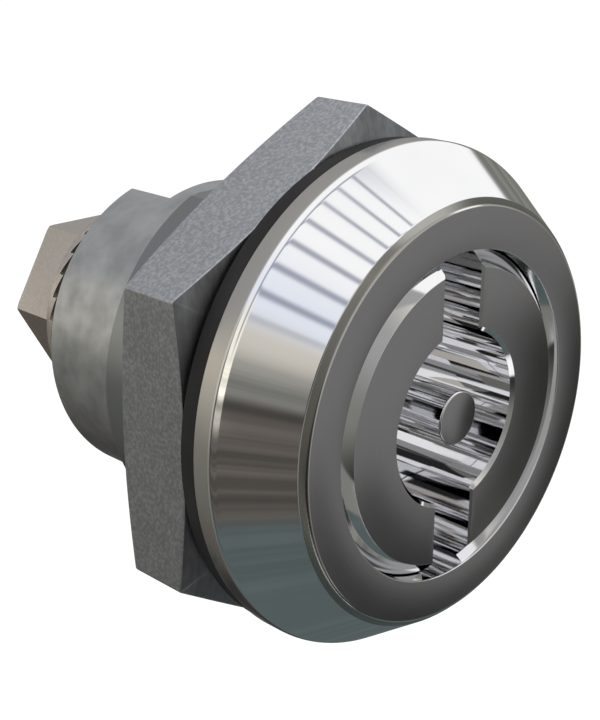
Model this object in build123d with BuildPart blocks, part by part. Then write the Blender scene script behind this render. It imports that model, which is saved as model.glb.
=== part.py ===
from build123d import *
from math import cos, radians, tan
import os

# Quarter-turn latch body for a cabinet door, drawn in millimetres.
# The turning axis is Y: the key side faces -Y, the inside of the cabinet is +Y, and +Z is up.
# The origin lies on the axis, in the plane where the gasket meets the door panel.

# Housing
BARREL_DIAMETER = 22.0
BARREL_FLATS = 20.0
BARREL_LENGTH = 9.8
BARREL_CHAMFER = 0.3
BORE_DIAMETER = 18.0
HEAD_OVERHANG = 3.0
HEAD_HEIGHT = 5.1
RIM_WIDTH = 1.35
RIM_CHAMFER = 0.28
FACE_WIDTH = 2.65
FACE_CHAMFER = 0.33
WEB_THICKNESS = 2.8
SPIGOT_DIAMETER = 16.8
SPIGOT_WALL = 0.9
SPIGOT_LENGTH = 2.0

# Gasket
GASKET_THICKNESS = 1.1
GASKET_SETBACK = 0.1

# Fixing nut
NUT_WALL = 2.5
NUT_THICKNESS = 5.0
NUT_CHAMFER_INSET = 0.4
NUT_CHAMFER_ANGLE = 16.0
NUT_COUNTERSINK = 0.4

# Spindle and the pin in its key socket
SPINDLE_CHAMFER = 0.85
SOCKET_DIAMETER = 9.5
SOCKET_DEPTH = 9.5
SOCKET_CHAMFER = 0.3
BIT_WIDTH = 3.0
PIN_DIAMETER = 3.0
PIN_EDGE = 0.1
PIN_ROOT_DIAMETER = 2.6
PIN_ROOT_LENGTH = 2.6
JOURNAL_DIAMETER = 12.0
SQUARE_SIDE = 8.0
SQUARE_CHAMFER = 0.4
TAPPED_DEPTH = 11.0

# Seal ring and retaining ring on the spindle
SEAL_SECTION = 1.8
SEAL_GROOVE_WIDTH = 2.1
SEAL_GROOVE_INSET = 0.7
RING_GROOVE_DEPTH = 0.5
RING_THICKNESS = 1.0
RING_WIDTH = 1.25
RING_OPENING = 50.0
RING_LUG_DIAMETER = 1.6
RING_LUG_HOLE = 0.8

# Stop collar and stop driver, which limit the turn
BODY_HEIGHT = 18.0
COLLAR_DIAMETER = 19.0
COLLAR_STEP = 3.5
COLLAR_RECESS = 0.2
DRIVER_DIAMETER = 13.2
TAB_WIDTH = 5.7
TAB_CLEARANCE = 0.15

# Bolt that holds a cam on the square
BOLT_DIAMETER = 6.0
BOLT_LENGTH = 10.0
BOLT_POINT = 0.8
BOLT_FLATS = 10.0
BOLT_HEAD_HEIGHT = 5.9
BOLT_CHAMFER_INSET = 0.25
BOLT_CHAMFER_ANGLE = 30.0
FLANGE_DIAMETER = 14.2
FLANGE_RIM = 0.7
FLANGE_SLOPE = 25.0
TOOTH_COUNT = 30
TOOTH_DEPTH = 0.39
TOOTH_LENGTH = 2.3
CAM_THICKNESS = 3.0
CLAMP_ALLOWANCE = 0.1

# Fits
TURN_CLEARANCE = 0.05
LOOSE_CLEARANCE = 0.3
THREAD_CLEARANCE = 0.05
CUT_OVERRUN = 1.0

# Stations along Y, from the key side to the cam side
SEAT = 0.0
HEAD_REAR = SEAT - GASKET_THICKNESS
RIM_FRONT = HEAD_REAR - RIM_WIDTH
FRONT = HEAD_REAR - HEAD_HEIGHT
BARREL_END = SEAT + BARREL_LENGTH
WEB_FRONT = BARREL_END - WEB_THICKNESS
SPIGOT_END = BARREL_END + SPIGOT_LENGTH
CAM_SEAT = HEAD_REAR + BODY_HEIGHT
COLLAR_END = CAM_SEAT - COLLAR_RECESS
STOP_FLOOR = COLLAR_END - COLLAR_STEP
DRIVER_FRONT = STOP_FLOOR + LOOSE_CLEARANCE
SHOULDER = WEB_FRONT - TURN_CLEARANCE
SOCKET_FLOOR = FRONT + SOCKET_DEPTH
SEAL_REAR = SHOULDER - SEAL_GROOVE_INSET
SEAL_FRONT = SEAL_REAR - SEAL_GROOVE_WIDTH
RING_FRONT = BARREL_END + TURN_CLEARANCE
RING_REAR = RING_FRONT + RING_THICKNESS
SQUARE_END = CAM_SEAT + CAM_THICKNESS - 2 * CLAMP_ALLOWANCE
FLANGE_FACE = CAM_SEAT + CAM_THICKNESS - CLAMP_ALLOWANCE
RIM_REAR = FLANGE_FACE + FLANGE_RIM
BOLT_END = FLANGE_FACE + BOLT_HEAD_HEIGHT
BOLT_TIP = FLANGE_FACE - BOLT_LENGTH

# Radii
BARREL_R = BARREL_DIAMETER / 2
BORE_R = BORE_DIAMETER / 2
HEAD_R = BARREL_R + HEAD_OVERHANG
FACE_R = BORE_R + FACE_WIDTH
SPIGOT_R = SPIGOT_DIAMETER / 2
WEB_BORE_R = JOURNAL_DIAMETER / 2
COLLAR_R = COLLAR_DIAMETER / 2
COLLAR_BORE_R = SPIGOT_R - SPIGOT_WALL
GASKET_R = HEAD_R - GASKET_SETBACK
NUT_BORE_R = BARREL_R + THREAD_CLEARANCE
NUT_FLAT_R = BARREL_R + NUT_WALL
NUT_CHAMFER_R = NUT_FLAT_R - NUT_CHAMFER_INSET
NUT_CORNER_R = NUT_FLAT_R / cos(radians(30))
SPINDLE_R = BORE_R - TURN_CLEARANCE
JOURNAL_R = WEB_BORE_R - TURN_CLEARANCE
SEAL_FLOOR_R = SPINDLE_R - SEAL_SECTION
RING_FLOOR_R = JOURNAL_R - RING_GROOVE_DEPTH
RING_R = RING_FLOOR_R + RING_WIDTH
BOLT_R = BOLT_DIAMETER / 2
BOLT_FLAT_R = BOLT_FLATS / 2
BOLT_CHAMFER_R = BOLT_FLAT_R - BOLT_CHAMFER_INSET
BOLT_CORNER_R = BOLT_FLAT_R / cos(radians(30))
FLANGE_R = FLANGE_DIAMETER / 2
DRIVER_R = DRIVER_DIAMETER / 2
TAB_R = COLLAR_R - LOOSE_CLEARANCE
STOP_HALF = TAB_WIDTH / 2 + TAB_CLEARANCE


def station(y):
    """Sketch plane across the axis at y, seen from the key side: local x is X, local y is Z."""
    return Plane.XZ.offset(-y)


# Housing: head and flatted barrel in one casting
with BuildPart() as housing:
    with BuildSketch(Plane.XY):
        with BuildLine():
            Polyline(
                (BORE_R, FRONT),
                (FACE_R - FACE_CHAMFER, FRONT),
                (FACE_R, FRONT + FACE_CHAMFER),
                (HEAD_R, RIM_FRONT),
                (HEAD_R, HEAD_REAR),
                (BARREL_R, HEAD_REAR),
                (BARREL_R, BARREL_END - BARREL_CHAMFER),
                (BARREL_R - BARREL_CHAMFER, BARREL_END),
                (SPIGOT_R, BARREL_END),
                (SPIGOT_R, SPIGOT_END),
                (COLLAR_BORE_R, SPIGOT_END),
                (COLLAR_BORE_R, BARREL_END),
                (WEB_BORE_R, BARREL_END),
                (WEB_BORE_R, WEB_FRONT),
                (BORE_R, WEB_FRONT),
                close=True,
            )
        make_face()
        outermost = vertices().group_by(Axis.X)[-1]
        chamfer(outermost.sort_by(Axis.Y)[0], RIM_CHAMFER)
    revolve(axis=Axis.Y)
    with BuildSketch(station(HEAD_REAR)):
        Circle(HEAD_R)
        Rectangle(2 * HEAD_R, BARREL_FLATS, mode=Mode.SUBTRACT)
    extrude(amount=HEAD_REAR - BARREL_END, mode=Mode.SUBTRACT)
housing.part.label = "housing"

# Gasket between the head and the panel
with BuildPart() as gasket:
    with BuildSketch(station(SEAT)):
        Circle(GASKET_R)
        Circle(NUT_BORE_R, mode=Mode.SUBTRACT)
    extrude(amount=GASKET_THICKNESS)
gasket.part.label = "gasket"

# Hexagon nut, one corner up, with a shallow cone over the corners of both faces
with BuildPart() as hex_nut:
    with BuildSketch(station(SEAT)):
        RegularPolygon(NUT_FLAT_R, 6, major_radius=False, rotation=30)
        Circle(NUT_BORE_R, mode=Mode.SUBTRACT)
    extrude(amount=-NUT_THICKNESS)
    with BuildSketch(Plane.XY):
        reach = NUT_CORNER_R + CUT_OVERRUN
        cone_drop = (reach - NUT_CHAMFER_R) * tan(radians(NUT_CHAMFER_ANGLE))
        with BuildLine():
            Polyline(
                (0, SEAT),
                (NUT_CHAMFER_R, SEAT),
                (reach, SEAT + cone_drop),
                (reach, SEAT + NUT_THICKNESS - cone_drop),
                (NUT_CHAMFER_R, SEAT + NUT_THICKNESS),
                (0, SEAT + NUT_THICKNESS),
                close=True,
            )
        make_face()
    revolve(axis=Axis.Y, mode=Mode.INTERSECT)
    mouths = hex_nut.edges().filter_by(GeomType.CIRCLE).group_by(SortBy.RADIUS)[0]
    chamfer(mouths, NUT_COUNTERSINK)
hex_nut.part.label = "hex_nut"

# Spindle: keyed head with a split rim, journal, and square for the driver and the cam
with BuildPart() as spindle:
    with BuildSketch(Plane.XY):
        with BuildLine():
            Polyline(
                (0, FRONT),
                (SPINDLE_R - SPINDLE_CHAMFER, FRONT),
                (SPINDLE_R, FRONT + SPINDLE_CHAMFER),
                (SPINDLE_R, SEAL_FRONT),
                (SEAL_FLOOR_R, SEAL_FRONT),
                (SEAL_FLOOR_R, SEAL_REAR),
                (SPINDLE_R, SEAL_REAR),
                (SPINDLE_R, SHOULDER),
                (JOURNAL_R, SHOULDER),
                (JOURNAL_R, RING_FRONT),
                (RING_FLOOR_R, RING_FRONT),
                (RING_FLOOR_R, RING_REAR),
                (JOURNAL_R, RING_REAR),
                (JOURNAL_R, DRIVER_FRONT),
                (0, DRIVER_FRONT),
                close=True,
            )
        make_face()
    revolve(axis=Axis.Y)
    with BuildSketch(station(DRIVER_FRONT)):
        Rectangle(SQUARE_SIDE, SQUARE_SIDE)
    extrude(amount=DRIVER_FRONT - SQUARE_END)
    chamfer(spindle.faces().sort_by(Axis.Y)[-1].edges(), SQUARE_CHAMFER)
    with BuildSketch(station(FRONT)):
        Circle(SOCKET_DIAMETER / 2)
        Rectangle(BIT_WIDTH, BORE_DIAMETER)
    extrude(amount=-SOCKET_DEPTH, mode=Mode.SUBTRACT)
    with BuildSketch(Plane.XY):
        with BuildLine():
            Polyline(
                (0, FRONT),
                (SOCKET_DIAMETER / 2 + SOCKET_CHAMFER, FRONT),
                (SOCKET_DIAMETER / 2, FRONT + SOCKET_CHAMFER),
                (0, FRONT + SOCKET_CHAMFER),
                close=True,
            )
        make_face()
    revolve(axis=Axis.Y, mode=Mode.SUBTRACT)
    with BuildSketch(station(SOCKET_FLOOR)):
        Circle(PIN_ROOT_DIAMETER / 2)
    extrude(amount=-PIN_ROOT_LENGTH, mode=Mode.SUBTRACT)
    with BuildSketch(station(SQUARE_END)):
        Circle(BOLT_R + THREAD_CLEARANCE)
    extrude(amount=TAPPED_DEPTH, mode=Mode.SUBTRACT)
spindle.part.label = "spindle"

# Pin with its root pressed into the socket floor and its tip level with the head
with BuildPart() as key_pin:
    with BuildSketch(station(FRONT)):
        Circle(PIN_DIAMETER / 2)
    extrude(amount=-SOCKET_DEPTH)
    chamfer(key_pin.faces().sort_by(Axis.Y)[0].edges(), PIN_EDGE)
    with BuildSketch(station(SOCKET_FLOOR)):
        Circle(PIN_ROOT_DIAMETER / 2)
    extrude(amount=-PIN_ROOT_LENGTH)
key_pin.part.label = "key_pin"

# Seal ring of square section, in the groove of the spindle head
with BuildPart() as seal_ring:
    with BuildSketch(Plane.XY):
        with Locations((SPINDLE_R - SEAL_SECTION / 2, (SEAL_FRONT + SEAL_REAR) / 2)):
            Rectangle(SEAL_SECTION, SEAL_SECTION)
    revolve(axis=Axis.Y)
seal_ring.part.label = "seal_ring"

# Retaining ring behind the housing web, open at the bottom, with a lug at each end
with BuildPart() as retaining_ring:
    with BuildSketch(station(RING_FRONT)):
        Circle(RING_R)
        Circle(RING_FLOOR_R, mode=Mode.SUBTRACT)
        with BuildLine(mode=Mode.PRIVATE) as wedge:
            reach = 2 * RING_R
            lean = reach * tan(radians(RING_OPENING / 2))
            Polyline((0, 0), (-lean, -reach), (lean, -reach), close=True)
        make_face(wedge.edges(), mode=Mode.SUBTRACT)
        lug_circle = RING_R - RING_LUG_DIAMETER / 4
        for turn in (-RING_OPENING / 2, RING_OPENING / 2):
            with PolarLocations(lug_circle, 1, start_angle=turn - 90):
                Circle(RING_LUG_DIAMETER / 2)
                Circle(RING_LUG_HOLE / 2, mode=Mode.SUBTRACT)
        Circle(RING_FLOOR_R, mode=Mode.SUBTRACT)
    extrude(amount=-RING_THICKNESS)
retaining_ring.part.label = "retaining_ring"

# Stop collar pressed on the housing spigot, its rear wall cut away over the turn of the tab
with BuildPart() as stop_collar:
    with BuildSketch(Plane.XY):
        with BuildLine():
            Polyline(
                (SPIGOT_R, BARREL_END),
                (COLLAR_R, BARREL_END),
                (COLLAR_R, COLLAR_END),
                (COLLAR_BORE_R, COLLAR_END),
                (COLLAR_BORE_R, SPIGOT_END),
                (SPIGOT_R, SPIGOT_END),
                close=True,
            )
        make_face()
    revolve(axis=Axis.Y)
    with BuildSketch(station(STOP_FLOOR)):
        with Locations((-STOP_HALF, -STOP_HALF)):
            Rectangle(COLLAR_DIAMETER, COLLAR_DIAMETER, align=(Align.MIN, Align.MIN))
    extrude(amount=-(COLLAR_STEP + CUT_OVERRUN), mode=Mode.SUBTRACT)
stop_collar.part.label = "stop_collar"

# Stop driver on the square, its tab pointing to +X in the photographed position
with BuildPart() as stop_driver:
    with BuildSketch(station(DRIVER_FRONT)):
        Circle(DRIVER_R)
    extrude(amount=DRIVER_FRONT - CAM_SEAT)
    with BuildSketch(station(DRIVER_FRONT)):
        Circle(TAB_R)
        Rectangle(TAB_R, TAB_WIDTH, align=(Align.MIN, Align.CENTER), mode=Mode.INTERSECT)
    extrude(amount=DRIVER_FRONT - COLLAR_END)
    with BuildSketch(station(DRIVER_FRONT)):
        Rectangle(SQUARE_SIDE + 2 * TURN_CLEARANCE, SQUARE_SIDE + 2 * TURN_CLEARANCE)
    extrude(amount=DRIVER_FRONT - CAM_SEAT, mode=Mode.SUBTRACT)
stop_driver.part.label = "stop_driver"

# One ramp tooth gap of the bolt flange, drawn on the axis with local z along the bolt:
# a wedge that widens with the radius, so that the gaps meet in radial crests
with BuildPart() as tooth_gap:
    for radius in (FLANGE_R - TOOTH_LENGTH, FLANGE_R + TOOTH_LENGTH):
        half_pitch = radius * tan(radians(180 / TOOTH_COUNT))
        with BuildSketch(Plane.YZ.offset(radius)):
            with BuildLine():
                Polyline(
                    (-half_pitch, 0),
                    (-half_pitch, CUT_OVERRUN),
                    (half_pitch, CUT_OVERRUN),
                    (half_pitch, -TOOTH_DEPTH * radius / FLANGE_R),
                    close=True,
                )
            make_face()
    loft(ruled=True)

# Flange bolt: hexagon with chamfered end, sloping flange with ramp teeth, and threaded shank
with BuildPart() as flange_bolt:
    with BuildSketch(station(FLANGE_FACE)):
        RegularPolygon(BOLT_FLAT_R, 6, major_radius=False)
    extrude(amount=-BOLT_HEAD_HEIGHT)
    with BuildSketch(Plane.XY):
        reach = BOLT_CORNER_R + CUT_OVERRUN
        cone_drop = (reach - BOLT_CHAMFER_R) * tan(radians(BOLT_CHAMFER_ANGLE))
        with BuildLine():
            Polyline(
                (0, FLANGE_FACE),
                (reach, FLANGE_FACE),
                (reach, BOLT_END - cone_drop),
                (BOLT_CHAMFER_R, BOLT_END),
                (0, BOLT_END),
                close=True,
            )
        make_face()
    revolve(axis=Axis.Y, mode=Mode.INTERSECT)
    with BuildSketch(Plane.XY):
        slope_run = FLANGE_R - BOLT_R
        with BuildLine():
            Polyline(
                (0, BOLT_TIP),
                (BOLT_R - BOLT_POINT, BOLT_TIP),
                (BOLT_R, BOLT_TIP + BOLT_POINT),
                (BOLT_R, FLANGE_FACE),
                (FLANGE_R, FLANGE_FACE),
                (FLANGE_R, RIM_REAR),
                (BOLT_R, RIM_REAR + slope_run * tan(radians(FLANGE_SLOPE))),
                (0, RIM_REAR + slope_run * tan(radians(FLANGE_SLOPE))),
                close=True,
            )
        make_face()
    revolve(axis=Axis.Y)
    with Locations(station(FLANGE_FACE)):
        with PolarLocations(0, TOOTH_COUNT):
            add(tooth_gap.part, mode=Mode.SUBTRACT)
flange_bolt.part.label = "flange_bolt"

os.makedirs("parts", exist_ok=True)
export_step(housing.part, "parts/housing.step")
export_step(gasket.part, "parts/gasket.step")
export_step(hex_nut.part, "parts/hex_nut.step")
export_step(spindle.part, "parts/spindle.step")
export_step(key_pin.part, "parts/key_pin.step")
export_step(seal_ring.part, "parts/seal_ring.step")
export_step(retaining_ring.part, "parts/retaining_ring.step")
export_step(stop_collar.part, "parts/stop_collar.step")
export_step(stop_driver.part, "parts/stop_driver.step")
export_step(flange_bolt.part, "parts/flange_bolt.step")
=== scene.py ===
"""Visual model of a quarter-turn latch body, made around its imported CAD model.

The file is laid out as an add-on and is run as a script. The turning axis is Y: the key
side faces -Y, +Z is up, and the gasket meets the door panel at the origin. Lengths are in
metres. The sizes are those of the CAD model, apart from small chamfers and roundings.
"""

from math import asin, atan2, cos, pi, radians, sin, sqrt, tan

import bmesh
import bpy
from bpy.props import FloatProperty, FloatVectorProperty, IntProperty, PointerProperty
from mathutils import Matrix, Vector


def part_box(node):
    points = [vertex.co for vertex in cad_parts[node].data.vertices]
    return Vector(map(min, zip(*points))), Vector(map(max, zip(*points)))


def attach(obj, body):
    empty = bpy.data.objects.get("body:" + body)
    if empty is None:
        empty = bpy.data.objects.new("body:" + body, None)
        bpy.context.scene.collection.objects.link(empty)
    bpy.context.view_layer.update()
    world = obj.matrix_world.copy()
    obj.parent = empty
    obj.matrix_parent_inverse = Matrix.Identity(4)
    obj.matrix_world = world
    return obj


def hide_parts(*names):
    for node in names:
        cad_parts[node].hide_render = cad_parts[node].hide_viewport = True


bl_info = {
    "name": "Quarter-turn latch body",
    "version": (1, 0, 0),
    "blender": (4, 5, 0),
    "location": "View3D > Sidebar > Latch",
    "description": "Builds the visual pieces of a quarter-turn latch body on its CAD frame",
    "category": "Object",
}

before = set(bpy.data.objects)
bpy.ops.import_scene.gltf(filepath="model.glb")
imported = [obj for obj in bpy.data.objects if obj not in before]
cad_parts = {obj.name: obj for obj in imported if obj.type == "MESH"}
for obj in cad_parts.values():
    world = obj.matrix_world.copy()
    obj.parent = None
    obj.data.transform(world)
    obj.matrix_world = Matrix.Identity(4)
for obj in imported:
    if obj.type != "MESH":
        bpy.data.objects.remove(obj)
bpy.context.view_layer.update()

MM = 0.001
TURN = 2 * pi

# Corners nearer than WELD merge, HAIR is the slack of comparisons, and a face is square to
# the axis when its normal has at least STRAIGHT along it
WELD = 0.0000004
HAIR = 0.01 * MM
STRAIGHT = 0.999

# Stations along the turning axis, from the key side to the cam side
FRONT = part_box("housing")[0].y
HEAD_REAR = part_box("gasket")[0].y
BARREL_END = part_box("stop_collar")[0].y
SPIGOT_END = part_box("housing")[1].y
COLLAR_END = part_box("stop_collar")[1].y
DRIVER_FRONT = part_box("stop_driver")[0].y
CAM_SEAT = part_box("stop_driver")[1].y
SQUARE_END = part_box("spindle")[1].y
BOLT_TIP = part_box("flange_bolt")[0].y
BOLT_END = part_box("flange_bolt")[1].y
STOP_FLOOR = COLLAR_END - 3.5 * MM
FLANGE_FACE = BOLT_END - 5.9 * MM
RIM_REAR = FLANGE_FACE + 0.7 * MM
SEAL_GROOVE = (4.15 * MM, 6.25 * MM)
SPINDLE_HEAD_END = 6.95 * MM
RING_GROOVE = (9.85 * MM, 10.85 * MM)

# Radii and depths inside the latch, which hardly show
SPIGOT_RADIUS = 8.4 * MM
SPIGOT_BORE = 7.5 * MM
WEB_BORE = 6.0 * MM
WEB_THICKNESS = 2.8 * MM
PIN_ROOT = 1.3 * MM
PIN_ROOT_DEPTH = 2.6 * MM
SEAL_FLOOR = 7.15 * MM
JOURNAL = 5.95 * MM
RING_FLOOR = 5.45 * MM
DRIVER_HOLE = 4.05 * MM
BOLT_HOLE = 3.05 * MM
BOLT_HOLE_DEPTH = 11.0 * MM
SHANK = 3.0 * MM
SHANK_TIP = 2.2 * MM

# Radius at which the mesh of the bolt's head meets that of its flange
FLANGE_SEAM = 6.3 * MM


def length(name, description, default):
    """Property for one size of the latch."""
    return FloatProperty(
        name=name, description=description, default=default, min=0.0, unit="LENGTH", precision=5
    )


def colour(name, description, default):
    """Property for the colour of one finish."""
    return FloatVectorProperty(
        name=name, description=description, default=default, size=3, min=0.0, max=1.0,
        subtype="COLOR",
    )


class LatchHousingSettings(bpy.types.PropertyGroup):
    head_radius: length("Head radius", "Outside of the head", 14.0 * MM)
    face_radius: length("Face radius", "Outside of the flat front face", 11.65 * MM)
    bore_radius: length("Bore radius", "Bore that the spindle turns in", 9.0 * MM)
    barrel_radius: length("Barrel radius", "Round sides of the barrel", 11.0 * MM)
    flat_height: length("Flat height", "Axis to each flat of the barrel", 10.0 * MM)
    rim_width: length("Rim width", "Straight rim behind the cone", 1.35 * MM)
    rim_fillet: length("Rim fillet", "Rounding between cone and rim", 0.9 * MM)
    face_chamfer: length("Face chamfer", "Broken edge of the front face", 0.33 * MM)
    chrome: colour("Chrome", "Bright chrome of the cone and the socket", (0.93, 0.93, 0.94))
    # The satin colour is darker than the chrome: a painted dark reflection on the front faces
    satin: colour("Satin face", "Satin chrome of the front faces", (0.43, 0.42, 0.42))
    rim: colour("Satin rim", "Satin chrome of the rim", (0.72, 0.70, 0.67))


class LatchNutSettings(bpy.types.PropertyGroup):
    flat_radius: length("Flat radius", "Axis to each flat of the nut", 13.5 * MM)
    bore_radius: length("Bore radius", "Hole over the barrel", 11.05 * MM)
    thickness: length("Thickness", "Length of the nut along the barrel", 5.0 * MM)
    corner: length("Corner rounding", "Rounding of the six corners", 0.22 * MM)
    zinc: colour("Galvanised zinc", "Colour of the galvanised nut", (0.60, 0.62, 0.66))


class LatchSealSettings(bpy.types.PropertyGroup):
    gasket_radius: length("Gasket radius", "Outside of the gasket", 13.9 * MM)
    gasket_bore: length("Gasket bore", "Hole of the gasket", 11.05 * MM)
    gasket_edge: length("Gasket edge", "Rounding of the gasket's edges", 0.2 * MM)
    rubber: colour("Rubber", "Colour of the gasket and the seal ring", (0.017, 0.016, 0.016))


class LatchSpindleSettings(bpy.types.PropertyGroup):
    radius: length("Spindle radius", "Outside of the keyed head", 8.95 * MM)
    chamfer: length("Spindle chamfer", "Bevel round the keyed head", 0.85 * MM)
    socket_radius: length("Socket radius", "Round socket for the key", 4.75 * MM)
    socket_depth: length("Socket depth", "Depth of the socket and the slots", 9.5 * MM)
    slot_width: length("Slot width", "Width of the slots for the key's bits", 3.0 * MM)
    pin_radius: length("Pin radius", "Guide pin in the socket", 1.5 * MM)
    square: length("Square", "Side of the square for the cam", 8.0 * MM)


class LatchStopSettings(bpy.types.PropertyGroup):
    collar_radius: length("Collar radius", "Outside of the stop collar", 9.5 * MM)
    driver_radius: length("Driver radius", "Hub of the stop driver", 6.6 * MM)
    tab_radius: length("Tab radius", "Reach of the driver's tab", 9.2 * MM)
    tab_half: length("Tab half width", "Half the width of the tab", 2.85 * MM)
    zinc: colour("Cast zinc", "Colour of the stop collar", (0.75, 0.77, 0.79))


class LatchBoltSettings(bpy.types.PropertyGroup):
    flat_radius: length("Flat radius", "Axis to each flat of the bolt head", 5.0 * MM)
    flange_radius: length("Flange radius", "Outside of the flange", 7.1 * MM)
    tooth_count: IntProperty(
        name="Teeth", description="Ramp teeth under the flange", default=30, min=6
    )
    tooth_depth: length("Tooth depth", "Depth of a tooth at the rim", 0.39 * MM)
    plating: colour("Plating", "Colour of the bolt's plating", (0.81, 0.75, 0.70))


class LatchStageSettings(bpy.types.PropertyGroup):
    floor_drop: length("Floor drop", "Floor below the turning axis", 0.1)
    floor: colour("Floor", "Colour of the floor", (0.8, 0.8, 0.8))
    soft_light: FloatProperty(
        name="Soft light", description="Even light from all round", default=0.85, min=0.0
    )
    lamp_power: FloatProperty(
        name="Lamp", description="Power of the soft lamp in watts", default=0.9, min=0.0
    )


SETTINGS = {
    "latch_housing": LatchHousingSettings,
    "latch_nut": LatchNutSettings,
    "latch_seal": LatchSealSettings,
    "latch_spindle": LatchSpindleSettings,
    "latch_stop": LatchStopSettings,
    "latch_bolt": LatchBoltSettings,
    "latch_stage": LatchStageSettings,
}


# Sections and meshes


def rounded_section(corners, closed=True, steps=6):
    """Points of a section whose corners are (radius, station) or (radius, station, rounding).
    A closed section ends on its first point."""
    points = []
    for index, corner in enumerate(corners):
        here = Vector(corner[:2])
        rounding = corner[2] if len(corner) > 2 else 0.0
        if rounding == 0.0:
            points.append(here)
            continue
        before = (Vector(corners[index - 1][:2]) - here).normalized()
        after = (Vector(corners[(index + 1) % len(corners)][:2]) - here).normalized()
        half = before.angle(after) / 2
        centre = here + (before + after).normalized() * rounding / sin(half)
        first = here + before * rounding / tan(half) - centre
        last = here + after * rounding / tan(half) - centre
        side = 1 if first.x * last.y - first.y * last.x > 0 else -1
        for step in range(steps + 1):
            swing = side * (pi - 2 * half) * step / steps
            points.append(centre + Matrix.Rotation(swing, 2) @ first)
    if closed:
        points.append(points[0])
    return points


def groove(radius, floor, stations):
    """Corners of a square groove between two stations."""
    start, end = stations
    return [(radius, start), (floor, start), (floor, end), (radius, end)]


def radius_of(place):
    """Distance from the turning axis."""
    return sqrt(place.x**2 + place.z**2)


def square_reach(half, angle):
    """Distance from the axis to the outline of a square at one angle."""
    return half / max(abs(cos(angle)), abs(sin(angle)))


def even_angles(count):
    """Angles of evenly spaced columns round the axis."""
    return [TURN * step / count for step in range(count)]


def weld(mesh):
    """Merges a mesh's doubles and turns its faces outwards."""
    shape = bmesh.new()
    shape.from_mesh(mesh)
    bmesh.ops.remove_doubles(shape, verts=shape.verts, dist=WELD)
    bmesh.ops.dissolve_degenerate(shape, edges=shape.edges, dist=WELD)
    bmesh.ops.recalc_face_normals(shape, faces=shape.faces)
    shape.to_mesh(mesh)
    shape.free()


def plain_mesh(name, corners, faces, edges=()):
    """Mesh of corners, faces and loose edges."""
    mesh = bpy.data.meshes.new(name)
    mesh.from_pydata(corners, edges, faces)
    return mesh


def welded_mesh(name, corners, faces):
    """Mesh of corners and faces without doubles, turned outwards."""
    mesh = plain_mesh(name, corners, faces)
    weld(mesh)
    return mesh


def lofted_mesh(name, angles, section_at):
    """Mesh that passes through a section at each angle round the axis. Every section has
    the same number of points, and the last angle joins the first."""
    rings = [section_at(angle) for angle in angles]
    rows = len(rings[0])
    corners = [
        (point.x * cos(angle), point.y, point.x * sin(angle))
        for angle, ring in zip(angles, rings)
        for point in ring
    ]
    faces = []
    for column in range(len(angles)):
        here = column * rows
        beside = (column + 1) % len(angles) * rows
        for row in range(rows - 1):
            faces.append((here + row, beside + row, beside + row + 1, here + row + 1))
    return welded_mesh(name, corners, faces)


def prism(outline, low, high):
    """Closed mesh of an outline in X and Y, from one height to another."""
    count = len(outline)
    corners = [(x, y, z) for z in (low, high) for x, y in outline]
    faces = [tuple(range(count)), tuple(range(2 * count - 1, count - 1, -1))]
    faces += [(k, (k + 1) % count, (k + 1) % count + count, k + count) for k in range(count)]
    return welded_mesh("prism", corners, faces)


def holder(name, data):
    """Linked object that carries a mesh, a lamp or a camera."""
    made = bpy.data.objects.new(name, data)
    bpy.context.scene.collection.objects.link(made)
    return made


def cut(target, mesh):
    """Boolean difference of the target and a closed mesh."""
    modifier = target.modifiers.new("Cut", "BOOLEAN")
    modifier.operation = "DIFFERENCE"
    modifier.solver = "EXACT"
    modifier.object = holder("cutting tool", mesh)


def finished_piece(work, name, node, body, finishes, crease, zone=None, round_off=None):
    """Turns the evaluated shape of a holder into the plain piece that stands for a CAD
    node. zone picks the finish of a face from its centre and normal, and round_off is the
    width, segments and angle of a bevel."""
    tools = [m.object for m in work.modifiers if m.type == "BOOLEAN"]
    graph = bpy.context.evaluated_depsgraph_get()
    mesh = bpy.data.meshes.new_from_object(work.evaluated_get(graph))
    for used in [work, *tools]:
        bpy.data.objects.remove(used)
    if not mesh.polygons:
        raise RuntimeError(f"{name} came out empty")
    weld(mesh)
    mesh.name = name
    mesh.materials.clear()
    for finish in finishes:
        mesh.materials.append(finish)
    for face in mesh.polygons:
        worn = zone(face.center, face.normal) if zone else finishes[0]
        face.material_index = finishes.index(worn)
    mesh.shade_smooth()
    mesh.set_sharp_from_angle(angle=radians(crease))
    piece = holder(name, mesh)
    if round_off:
        bevel = piece.modifiers.new("Broken edges", "BEVEL")
        bevel.width, bevel.segments = round_off[:2]
        bevel.limit_method = "ANGLE"
        bevel.angle_limit = radians(round_off[2])
        bevel.use_clamp_overlap = False
    shading = piece.modifiers.new("Even shading", "WEIGHTED_NORMAL")
    shading.keep_sharp = True
    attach(piece, body)
    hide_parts(node)
    return piece


def dress_node(name, material):
    """Gives a CAD node that stays its own finish."""
    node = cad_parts[name]
    for slot in node.material_slots:
        slot.material = material
    if not node.material_slots:
        node.data.materials.append(material)


# Geometry Nodes


def new_node(tree, kind, inputs=None, **settings):
    """Node with its settings, its input values and its incoming links."""
    made = tree.nodes.new(kind)
    for key, value in settings.items():
        setattr(made, key, value)
    for key, value in (inputs or {}).items():
        if isinstance(value, bpy.types.NodeSocket):
            tree.links.new(value, made.inputs[key])
        else:
            made.inputs[key].default_value = value
    return made


def result(tree, kind, inputs=None, **settings):
    """First output of a new node."""
    return new_node(tree, kind, inputs, **settings).outputs[0]


def maths(tree, operation, *values):
    """Output of a Math node."""
    return result(tree, "ShaderNodeMath", dict(enumerate(values)), operation=operation)


def times(tree, product, *factors):
    """Product of two or more numbers."""
    for factor in factors:
        product = maths(tree, "MULTIPLY", product, factor)
    return product


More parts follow.
